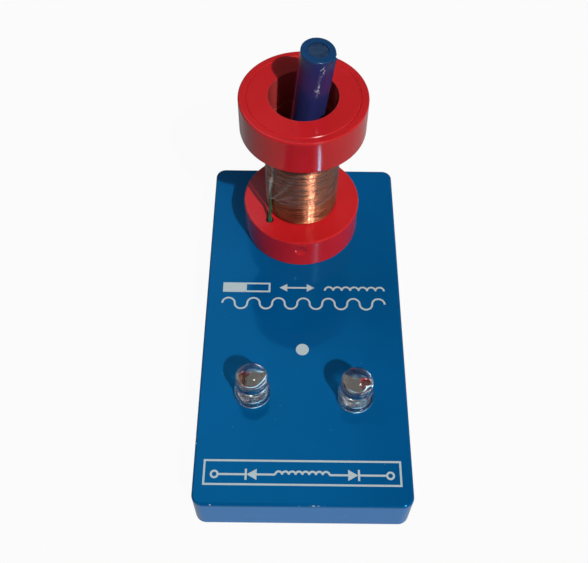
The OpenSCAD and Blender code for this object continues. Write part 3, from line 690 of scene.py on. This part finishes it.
route = lead_down(0) + in_base(
    (-13, 26, 7), (-15, 18, 6.5), (-17, 8, 6.5), (-18, -3, 6.5), (-18, -14, 6.5),
) + [by_leg("left", -1, 0, 2.4), by_leg("left", -1, 0, 0.3)]
lead("front_lead", route, green_cover, "lead_start", knot=3)
route = lead_down(math.pi) + in_base(
    (13, 49, 7), (19, 44, 6.5), (21, 34, 6.5), (21, 22, 6.5), (22, 8, 6.5), (23, -6, 6.5), (23, -18, 6.5),
    (22, -26, 6.8),
) + [by_leg("right", 1, 2.4, 0), by_leg("right", 1, 0.3, 0)]
lead("back_lead", route, green_cover, "lead_finish", knot=3)
route = [by_leg("left", -1, 0, -0.3), by_leg("left", -1, 0, -2.4)] + in_base(
    (-14, -36, 6.5), (-5, -39, 6.5), (5, -39, 6.5), (12, -37, 6.5),
) + [by_leg("right", -1, 0, -2.4), by_leg("right", -1, 0, -0.3)]
lead("front_jumper", route, red_cover, "jumper_front")
route = [by_leg("left", 1, 0, 0.3), by_leg("left", 1, 0, 2.4)] + in_base(
    (-10, -20, 6.5), (0, -18, 6.5), (10, -19, 6.5), (16, -23, 6.5),
) + [by_leg("right", 1, 0, 2.4), by_leg("right", 1, 0, 0.3)]
lead("back_jumper", route, black_cover, "jumper_back")


# Tape: clear film wound once and a bit round the upper part of the winding, pulled over the leads.
# It gathers in creases where it rides over a lead, and its lower edge is not quite level.
tape_low, tape_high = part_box("tape_wrap")
tape_r = (tape_high.x - tape_low.x) / 2
tape_h = tape_high.z - tape_low.z
tape_t = 0.06 * mm
tape_rows = 90
tape_steps = 360
tent_h = 1.22 * mm
tent_w = 1.2 * mm
tent_fade = 2.2 * mm
fan_w = 6.5 * mm
fan_below = 2.0 * mm
fan_rays = 17
crease_h = 0.10 * mm
band_h = 1.1 * mm
ripple_out = 0.03 * mm
ripple_h = 4.5 * mm
edge_sag = 0.9 * mm
tape_haze = (0.20, 0.16, 0.15, 1.0)
crease_white_and_sheen = (0.52, 0.47, 0.45, 1.0)


def spun(profile, steps, closed=False):
    """A body of revolution about Z from a profile of radii and heights."""
    bm = bmesh.new()
    points = [bm.verts.new((radius, 0, height)) for radius, height in profile]
    pairs = list(zip(points, points[1:])) + ([(points[-1], points[0])] if closed else [])
    edges = [bm.edges.new(pair) for pair in pairs]
    bmesh.ops.spin(
        bm, geom=points + edges, cent=(0, 0, 0), axis=(0, 0, 1), angle=2 * math.pi, steps=steps,
        use_merge=True,
    )
    bmesh.ops.remove_doubles(bm, verts=bm.verts, dist=1e-7)
    bmesh.ops.recalc_face_normals(bm, faces=bm.faces)
    return bm


def from_lead(angle, half_turn):
    """Angle from the lead on one side, between minus and plus half a turn."""
    return (angle - lead_lie_angle - half_turn + math.pi) % (2 * math.pi) - math.pi


rows = [(tape_r, tape_low.z + tape_h * i / tape_rows) for i in range(tape_rows + 1)]
bm = spun(rows, tape_steps)
crease_layer = bm.verts.layers.float.new("crease")
for v in bm.verts:
    angle = math.atan2(v.co.y, v.co.x)
    up = (v.co.z - tape_low.z) / tape_h
    outward = Vector((math.cos(angle), math.sin(angle), 0))
    rise = 0.0
    crease = 0.0
    for half_turn in (0, math.pi):
        along = from_lead(angle, half_turn) * tape_r
        over = v.co.z - lead_top_z
        ends = 1.0 if over < 0 else math.exp(-(over / tent_fade) ** 2)
        tent = math.exp(-(along / tent_w) ** 2)
        rise = max(rise, tent_h * tent * ends)
        fan = math.atan2(along, v.co.z - tape_low.z + fan_below)
        reach = math.exp(-(along / fan_w) ** 2)
        bend = 1.6 * noise.noise(Vector((fan * 3, up * 2, half_turn)))
        ray = 0.5 + 0.5 * math.sin(fan * fan_rays + bend)
        crease = max(crease, reach * ray ** 4)
    band = noise.noise(Vector((outward.x * 2.0, outward.y * 2.0, v.co.z / band_h)))
    ripple = noise.noise(Vector((outward.x * 5.0, outward.y * 5.0, v.co.z / ripple_h)))
    crease = max(crease, 0.55 * max(0.0, band - 0.15))
    v[crease_layer] = crease
    v.co += outward * (rise + crease_h * crease + ripple_out * ripple)
    sag = edge_sag * noise.noise(Vector((outward.x * 1.3, outward.y * 1.3, 4.0)))
    v.co.z += (1 - up) ** 6 * (sag + edge_sag)
bmesh.ops.recalc_face_normals(bm, faces=bm.faces)
bmesh.ops.solidify(bm, geom=list(bm.faces), thickness=tape_t)
bmesh.ops.translate(bm, verts=bm.verts, vec=axis)

film_clear, tree, shader = new_finish("clear_tape")
place = add(tree, "TexCoord").outputs["Object"]
creased = add(tree, "Attribute", attribute_name="crease").outputs["Fac"]
stretched = add(tree, "Mapping", {"Vector": place, "Scale": (260.0, 260.0, 900.0)}).outputs[0]
streaks = add(tree, "TexNoise", {"Vector": stretched, "Scale": 1.0, "Detail": 4.0}).outputs[0]
haze = calc(tree, "MULTIPLY", creased, 0.55)
haze = calc(tree, "ADD", spread(tree, streaks, 0.45, 0.8, 0.0, 0.35), haze)
# The creases are painted pale: partly the whitening of creased film, partly painted reflection streaks.
colour = mix(tree, creased, tape_haze, crease_white_and_sheen)
cover = spread(tree, haze, 0.0, 1.0, 0.06, 0.62)
gloss = effect(tree, smudges, {"Vector": place, "Scale": 400.0, "Low": 0.12, "High": 0.3})
bump = add(tree, "Bump", {"Height": streaks, "Strength": 1.0, "Distance": 0.03 * mm}).outputs[0]
set_shader(tree, shader, {"Base Color": colour, "Roughness": gloss, "Alpha": cover, "Normal": bump})
seat(bm, "tape_film", "stand", film_clear, ["tape_wrap"], sharp=60)


# Light emitters: water-clear cast lenses on silvered lead frames, with their legs in holes in the base.
# A lens has a wider foot with a flat on the cathode's side. Its resin has drawn in hollow below, and has
# set in lumps round the legs and at the rim. Solder holds the wires to the legs.
lens_h = lens_boxes["left"][1].z - base_top
dome_r = 5.0 * mm
foot_h = 1.6 * mm
foot_round = 0.25 * mm
lens_gap = 0.03 * mm
lens_lump = 0.28 * mm
lump_scale = 2.6
lump_share = 0.2
lens_hollow = {"left": 0.86 * mm, "right": 0.80 * mm}
smooth_r = 3.8 * mm
smooth_half_w = 0.9 * mm
smooth_fade = 0.5 * mm
flat_depth = lens_r * 2 - (lens_boxes["left"][1].x - lens_boxes["left"][0].x)
lens_steps = 96
dome_steps = 24
foot_steps = 24
resin_tint = (0.97, 0.985, 1.0, 1.0)
silver_light = (0.80, 0.79, 0.76, 1.0)
silver_dull = (0.50, 0.49, 0.47, 1.0)
chip_deep = (0.22, 0.18, 0.10, 1.0)
chip_light = (0.42, 0.36, 0.22, 1.0)
solder_light = (0.68, 0.68, 0.69, 1.0)
solder_dull = (0.45, 0.45, 0.46, 1.0)


def bow(mid_r, mid_z, radius, start, end, steps):
    """Points of an arc in a profile, as radius and height."""
    turns = [math.radians(start + (end - start) * i / steps) for i in range(steps + 1)]
    return [(mid_r + radius * math.cos(a), mid_z + radius * math.sin(a)) for a in turns]


clear, tree, shader = new_finish("water_clear_resin")
place = add(tree, "TexCoord").outputs["Object"]
cast = add(tree, "TexNoise", {"Vector": place, "Scale": 260.0, "Detail": 1.0}).outputs[0]
bump = add(tree, "Bump", {"Height": cast, "Strength": 1.0, "Distance": 0.004 * mm}).outputs[0]
touched = effect(tree, smudges, {"Vector": place, "Scale": 240.0, "Low": 0.0, "High": 0.03})
set_shader(tree, shader, {
    "Base Color": resin_tint, "Roughness": touched, "Normal": bump,
    "IOR": 1.53, "Transmission Weight": 1.0, "Coat Weight": 0.3, "Coat Roughness": 0.04,
})

for side, flat_way in (("left", 1), ("right", -1)):
    bm = spun(
        [(lens_r * i / foot_steps, 0) for i in range(foot_steps - 1)]
        + bow(lens_r - foot_round, foot_round, foot_round, -90, 0, 5)
        + bow(lens_r - foot_round, foot_h - foot_round, foot_round, 0, 90, 5)
        + bow(dome_r + foot_round, foot_h + foot_round, foot_round, -90, -180, 4)
        + bow(0, lens_h - dome_r, dome_r, 0, 90, dome_steps),
        lens_steps,
    )
    bmesh.ops.bisect_plane(
        bm, geom=list(bm.verts) + list(bm.edges) + list(bm.faces),
        plane_co=(flat_way * (lens_r - flat_depth), 0, 0), plane_no=(flat_way, 0, 0), clear_outer=True,
    )
    bmesh.ops.holes_fill(bm, edges=[e for e in bm.edges if e.is_boundary])
    bmesh.ops.recalc_face_normals(bm, faces=bm.faces)
    for v in bm.verts:
        if v.co.z < 1e-6:
            from_mid = math.hypot(v.co.x, v.co.y)
            off_ring = (abs(from_mid - smooth_r) - smooth_half_w) / smooth_fade
            lumpy = min(1.0, max(0.0, off_ring))
            spot = Vector((v.co.x / mm, v.co.y / mm, flat_way)) * lump_scale
            lump = max(0.0, noise.noise(spot) + lump_share)
            drawn_in = max(0.0, 1 - (from_mid / dome_r) ** 3)
            v.co.z += lens_lump * lumpy * lump + lens_hollow[side] * drawn_in
    bmesh.ops.translate(bm, verts=bm.verts, vec=lens_mid[side] + Vector((0, 0, lens_gap)))
    seat(bm, side + "_lens", "stand", clear, ["led_%s_lens" % side], sharp=50)

silver, tree, shader = new_finish("silvered_frame")
place = add(tree, "TexCoord").outputs["Object"]
tarnish = add(tree, "TexNoise", {"Vector": place, "Scale": 700.0, "Detail": 4.0}).outputs[0]
colour = mix(tree, spread(tree, tarnish, 0.4, 0.75), silver_light, silver_dull)
worn = effect(tree, smudges, {"Vector": place, "Scale": 900.0, "Low": 0.18, "High": 0.36})
bump = add(tree, "Bump", {"Height": tarnish, "Strength": 1.0, "Distance": 0.01 * mm}).outputs[0]
set_shader(tree, shader, {"Base Color": colour, "Roughness": worn, "Normal": bump, "Metallic": 1.0})
dress(silver, *["led_%s_%s" % (side, leg) for side in ("left", "right") for leg in ("anode", "cathode")])

chip_finish, tree, shader = new_finish("emitting_chip")
place = add(tree, "TexCoord").outputs["Object"]
layers = add(tree, "TexNoise", {"Vector": place, "Scale": 3000.0, "Detail": 2.0}).outputs[0]
colour = mix(tree, spread(tree, layers, 0.4, 0.6), chip_deep, chip_light)
gloss = effect(tree, smudges, {"Vector": place, "Scale": 2000.0, "Low": 0.15, "High": 0.3})
set_shader(tree, shader, {"Base Color": colour, "Roughness": gloss})
dress(chip_finish, "led_left_chip", "led_right_chip")

solder, tree, shader = new_finish("solder_tin")
place = add(tree, "TexCoord").outputs["Object"]
frost = add(tree, "TexNoise", {"Vector": place, "Scale": 1500.0, "Detail": 5.0}).outputs[0]
colour = mix(tree, spread(tree, frost, 0.35, 0.7), solder_light, solder_dull)
dull = effect(tree, smudges, {"Vector": place, "Scale": 800.0, "Low": 0.2, "High": 0.5})
bump = add(tree, "Bump", {"Height": frost, "Strength": 1.0, "Distance": 0.03 * mm}).outputs[0]
set_shader(tree, shader, {"Base Color": colour, "Roughness": dull, "Normal": bump, "Metallic": 1.0})
dress(solder, "solder_joints")


# Magnet: a round steel bar shrunk into dark blue film that is folded over both ends.
# The film is drawn tight on the bar, with two short crinkles on its front, a loose lip at the right of its
# upper edge and puckers round the folds. Along the crinkles it is painted pale in beads: painted glints.
rod_low, rod_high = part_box("magnet_rod")
rod_points = {tuple(round(c, 7) for c in v.co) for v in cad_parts["magnet_rod"].data.vertices}
rod_mid_z = (rod_low.z + rod_high.z) / 2
upper_points = [Vector(p) for p in rod_points if p[2] > rod_mid_z]
lower_points = [Vector(p) for p in rod_points if p[2] < rod_mid_z]
rod_top = sum(upper_points, Vector()) / len(upper_points)
rod_foot = sum(lower_points, Vector()) / len(lower_points)
rod_way = (rod_top - rod_foot).normalized()
rod_l = (rod_top - rod_foot).length
rod_lean = math.acos(rod_way.z)
rod_turn = math.atan2(rod_way.y, rod_way.x)
sleeve_t = 0.35 * mm
sleeve_gap = 0.05 * mm
sleeve_r = 5.05 * mm
sleeve_fold = 2.0 * mm
sleeve_round = 0.45 * mm
sleeve_rows = 120
sleeve_steps = 200
fold_lip = 0.6 * mm
fold_near = 0.2 * mm
skin_near = 0.1 * mm
rim_w = 0.3 * mm
film_lump = 0.03 * mm
film_lump_l = 7.0 * mm
pucker_up = 0.05 * mm
pucker_in = 0.16 * mm
crinkle_angle = math.radians(-75)
crinkle_at = (75.0 * mm, 67.8 * mm)
crinkle_half = 2.3 * mm
lip_angle = math.radians(-27)
lip_half_angle = 0.28
lip_h = 1.1 * mm
lip_out = 0.85 * mm
lip_in = 0.7 * mm
fold_edge = 0.25 * mm
film_side = (0.017, 0.022, 0.108, 1.0)
film_side_light = (0.023, 0.029, 0.145, 1.0)
film_end = (0.005, 0.040, 0.122, 1.0)
film_painted_glint = (0.34, 0.36, 0.52, 1.0)
steel_blue = (0.020, 0.052, 0.122, 1.0)
steel_blue_light = (0.042, 0.088, 0.182, 1.0)

sleeve_z0 = -sleeve_gap - sleeve_t
sleeve_z1 = rod_l + sleeve_gap + sleeve_t
side_from = sleeve_z0 + sleeve_round
side_to = sleeve_z1 - sleeve_round
side_rows = [(sleeve_r, side_from + (side_to - side_from) * i / sleeve_rows) for i in range(1, sleeve_rows)]
opening = sleeve_r - sleeve_fold
inner_r = sleeve_r - sleeve_t
bm = spun(
    [(opening, sleeve_z0), (opening + fold_lip, sleeve_z0)]
    + bow(sleeve_r - sleeve_round, sleeve_z0 + sleeve_round, sleeve_round, -90, 0, 5)
    + side_rows
    + bow(sleeve_r - sleeve_round, sleeve_z1 - sleeve_round, sleeve_round, 0, 90, 5)
    + [(opening + fold_lip, sleeve_z1), (opening, sleeve_z1), (opening, sleeve_z1 - sleeve_t)]
    + [(inner_r, sleeve_z1 - sleeve_t), (inner_r, sleeve_z0 + sleeve_t), (opening, sleeve_z0 + sleeve_t)],
    sleeve_steps, closed=True,
)
for v in bm.verts:
    angle = math.atan2(v.co.y, v.co.x)
    radius = math.hypot(v.co.x, v.co.y)
    outward = Vector((math.cos(angle), math.sin(angle), 0))
    if radius > inner_r + skin_near:
        lumps = noise.noise(Vector((outward.x * 2.2, outward.y * 2.2, v.co.z / film_lump_l)))
        v.co += outward * film_lump * lumps
    for end, way in ((sleeve_z1, 1), (sleeve_z0, -1)):
        if abs(v.co.z - end) < fold_near and radius < sleeve_r - fold_near:
            pucker = noise.noise(Vector((outward.x * 4, outward.y * 4, way)))
            v.co.z += way * pucker_up * pucker
            if radius < opening + rim_w:
                draw = noise.noise(Vector((outward.x * 3, outward.y * 3, 5 * way)))
                v.co += outward * pucker_in * draw
    below_end = (sleeve_z1 - v.co.z) / lip_h
    off = (angle + rod_turn - lip_angle + math.pi) % (2 * math.pi) - math.pi
    if radius > sleeve_r - lip_in and below_end < 1.0:
        lip = math.exp(-(off / lip_half_angle) ** 2) * math.sin(math.pi * min(1.0, 0.15 + below_end))
        ragged = 0.8 + noise.noise(Vector((outward.x * 9, outward.y * 9, 2)))
        v.co += outward * lip_out * lip * ragged
stand_up = Matrix.Rotation(rod_turn, 4, "Z") @ Matrix.Rotation(rod_lean, 4, "Y")
bmesh.ops.transform(bm, matrix=Matrix.Translation(rod_foot) @ stand_up, verts=bm.verts)
bmesh.ops.recalc_face_normals(bm, faces=bm.faces)

film, tree, shader = new_finish("blue_film")
place = add(tree, "TexCoord").outputs["Object"]
on_rod = add(
    tree, "Mapping", {"Vector": place, "Location": rod_foot, "Rotation": (0.0, rod_lean, rod_turn)},
    vector_type="TEXTURE",
).outputs[0]
spot = add(tree, "SeparateXYZ", {"Vector": on_rod}).outputs
up = spot["Z"]
from_middle = calc(tree, "ABSOLUTE", calc(tree, "SUBTRACT", up, rod_l / 2))
folded = spread(tree, from_middle, rod_l / 2 - fold_edge, rod_l / 2 + fold_edge)
drawn = add(tree, "Mapping", {"Vector": on_rod, "Scale": (350.0, 350.0, 60.0)}).outputs[0]
strain = add(tree, "TexNoise", {"Vector": drawn, "Scale": 1.0, "Detail": 4.0}).outputs[0]
colour = mix(tree, spread(tree, strain, 0.35, 0.7), film_side, film_side_light)
colour = mix(tree, folded, colour, film_end)
crinkle_turn = (crinkle_angle - rod_turn + math.pi) % (2 * math.pi) - math.pi
off = calc(tree, "SUBTRACT", calc(tree, "ARCTAN2", spot["Y"], spot["X"]), crinkle_turn)
wander = add(tree, "TexNoise", {"Vector": on_rod, "Scale": 420.0, "Detail": 2.0}).outputs[0]
off = calc(tree, "ABSOLUTE", calc(tree, "ADD", off, spread(tree, wander, 0.3, 0.7, -0.22, 0.22)))
along = 0.0
for crinkle_z in crinkle_at:
    beside = calc(tree, "ABSOLUTE", calc(tree, "SUBTRACT", up, crinkle_z))
    along = calc(tree, "ADD", along, spread(tree, beside, crinkle_half, 0.6 * crinkle_half))
crinkled = calc(tree, "MULTIPLY", spread(tree, off, 0.09, 0.03), along)
beads = add(tree, "TexNoise", {"Vector": on_rod, "Scale": 1300.0, "Detail": 1.0}).outputs[0]
# Painted glints: beads of pale colour along the crinkles.
painted_glint = calc(tree, "MULTIPLY", crinkled, spread(tree, beads, 0.38, 0.58))
colour = mix(tree, painted_glint, colour, film_painted_glint)
gloss = effect(tree, smudges, {"Vector": on_rod, "Scale": 220.0, "Low": 0.14, "High": 0.24})
skin = calc(tree, "ADD", strain, calc(tree, "MULTIPLY", crinkled, 5.0))
bump = add(tree, "Bump", {"Height": skin, "Strength": 1.0, "Distance": 0.02 * mm}).outputs[0]
set_shader(tree, shader, {
    "Base Color": colour, "Roughness": gloss, "Normal": bump, "Specular IOR Level": 0.25,
})
seat(bm, "film_cover", "magnet", film, ["magnet_sleeve"], sharp=50)

bare_steel, tree, shader = new_finish("magnet_steel")
place = add(tree, "TexCoord").outputs["Object"]
mill = add(tree, "TexNoise", {"Vector": place, "Scale": 600.0, "Detail": 5.0}).outputs[0]
colour = mix(tree, spread(tree, mill, 0.35, 0.7), steel_blue, steel_blue_light)
dull = effect(tree, smudges, {"Vector": place, "Scale": 400.0, "Low": 0.3, "High": 0.5})
bump = add(tree, "Bump", {"Height": mill, "Strength": 1.0, "Distance": 0.02 * mm}).outputs[0]
set_shader(tree, shader, {"Base Color": colour, "Roughness": dull, "Normal": bump, "Metallic": 0.6})
dress(bare_steel, "magnet_rod")
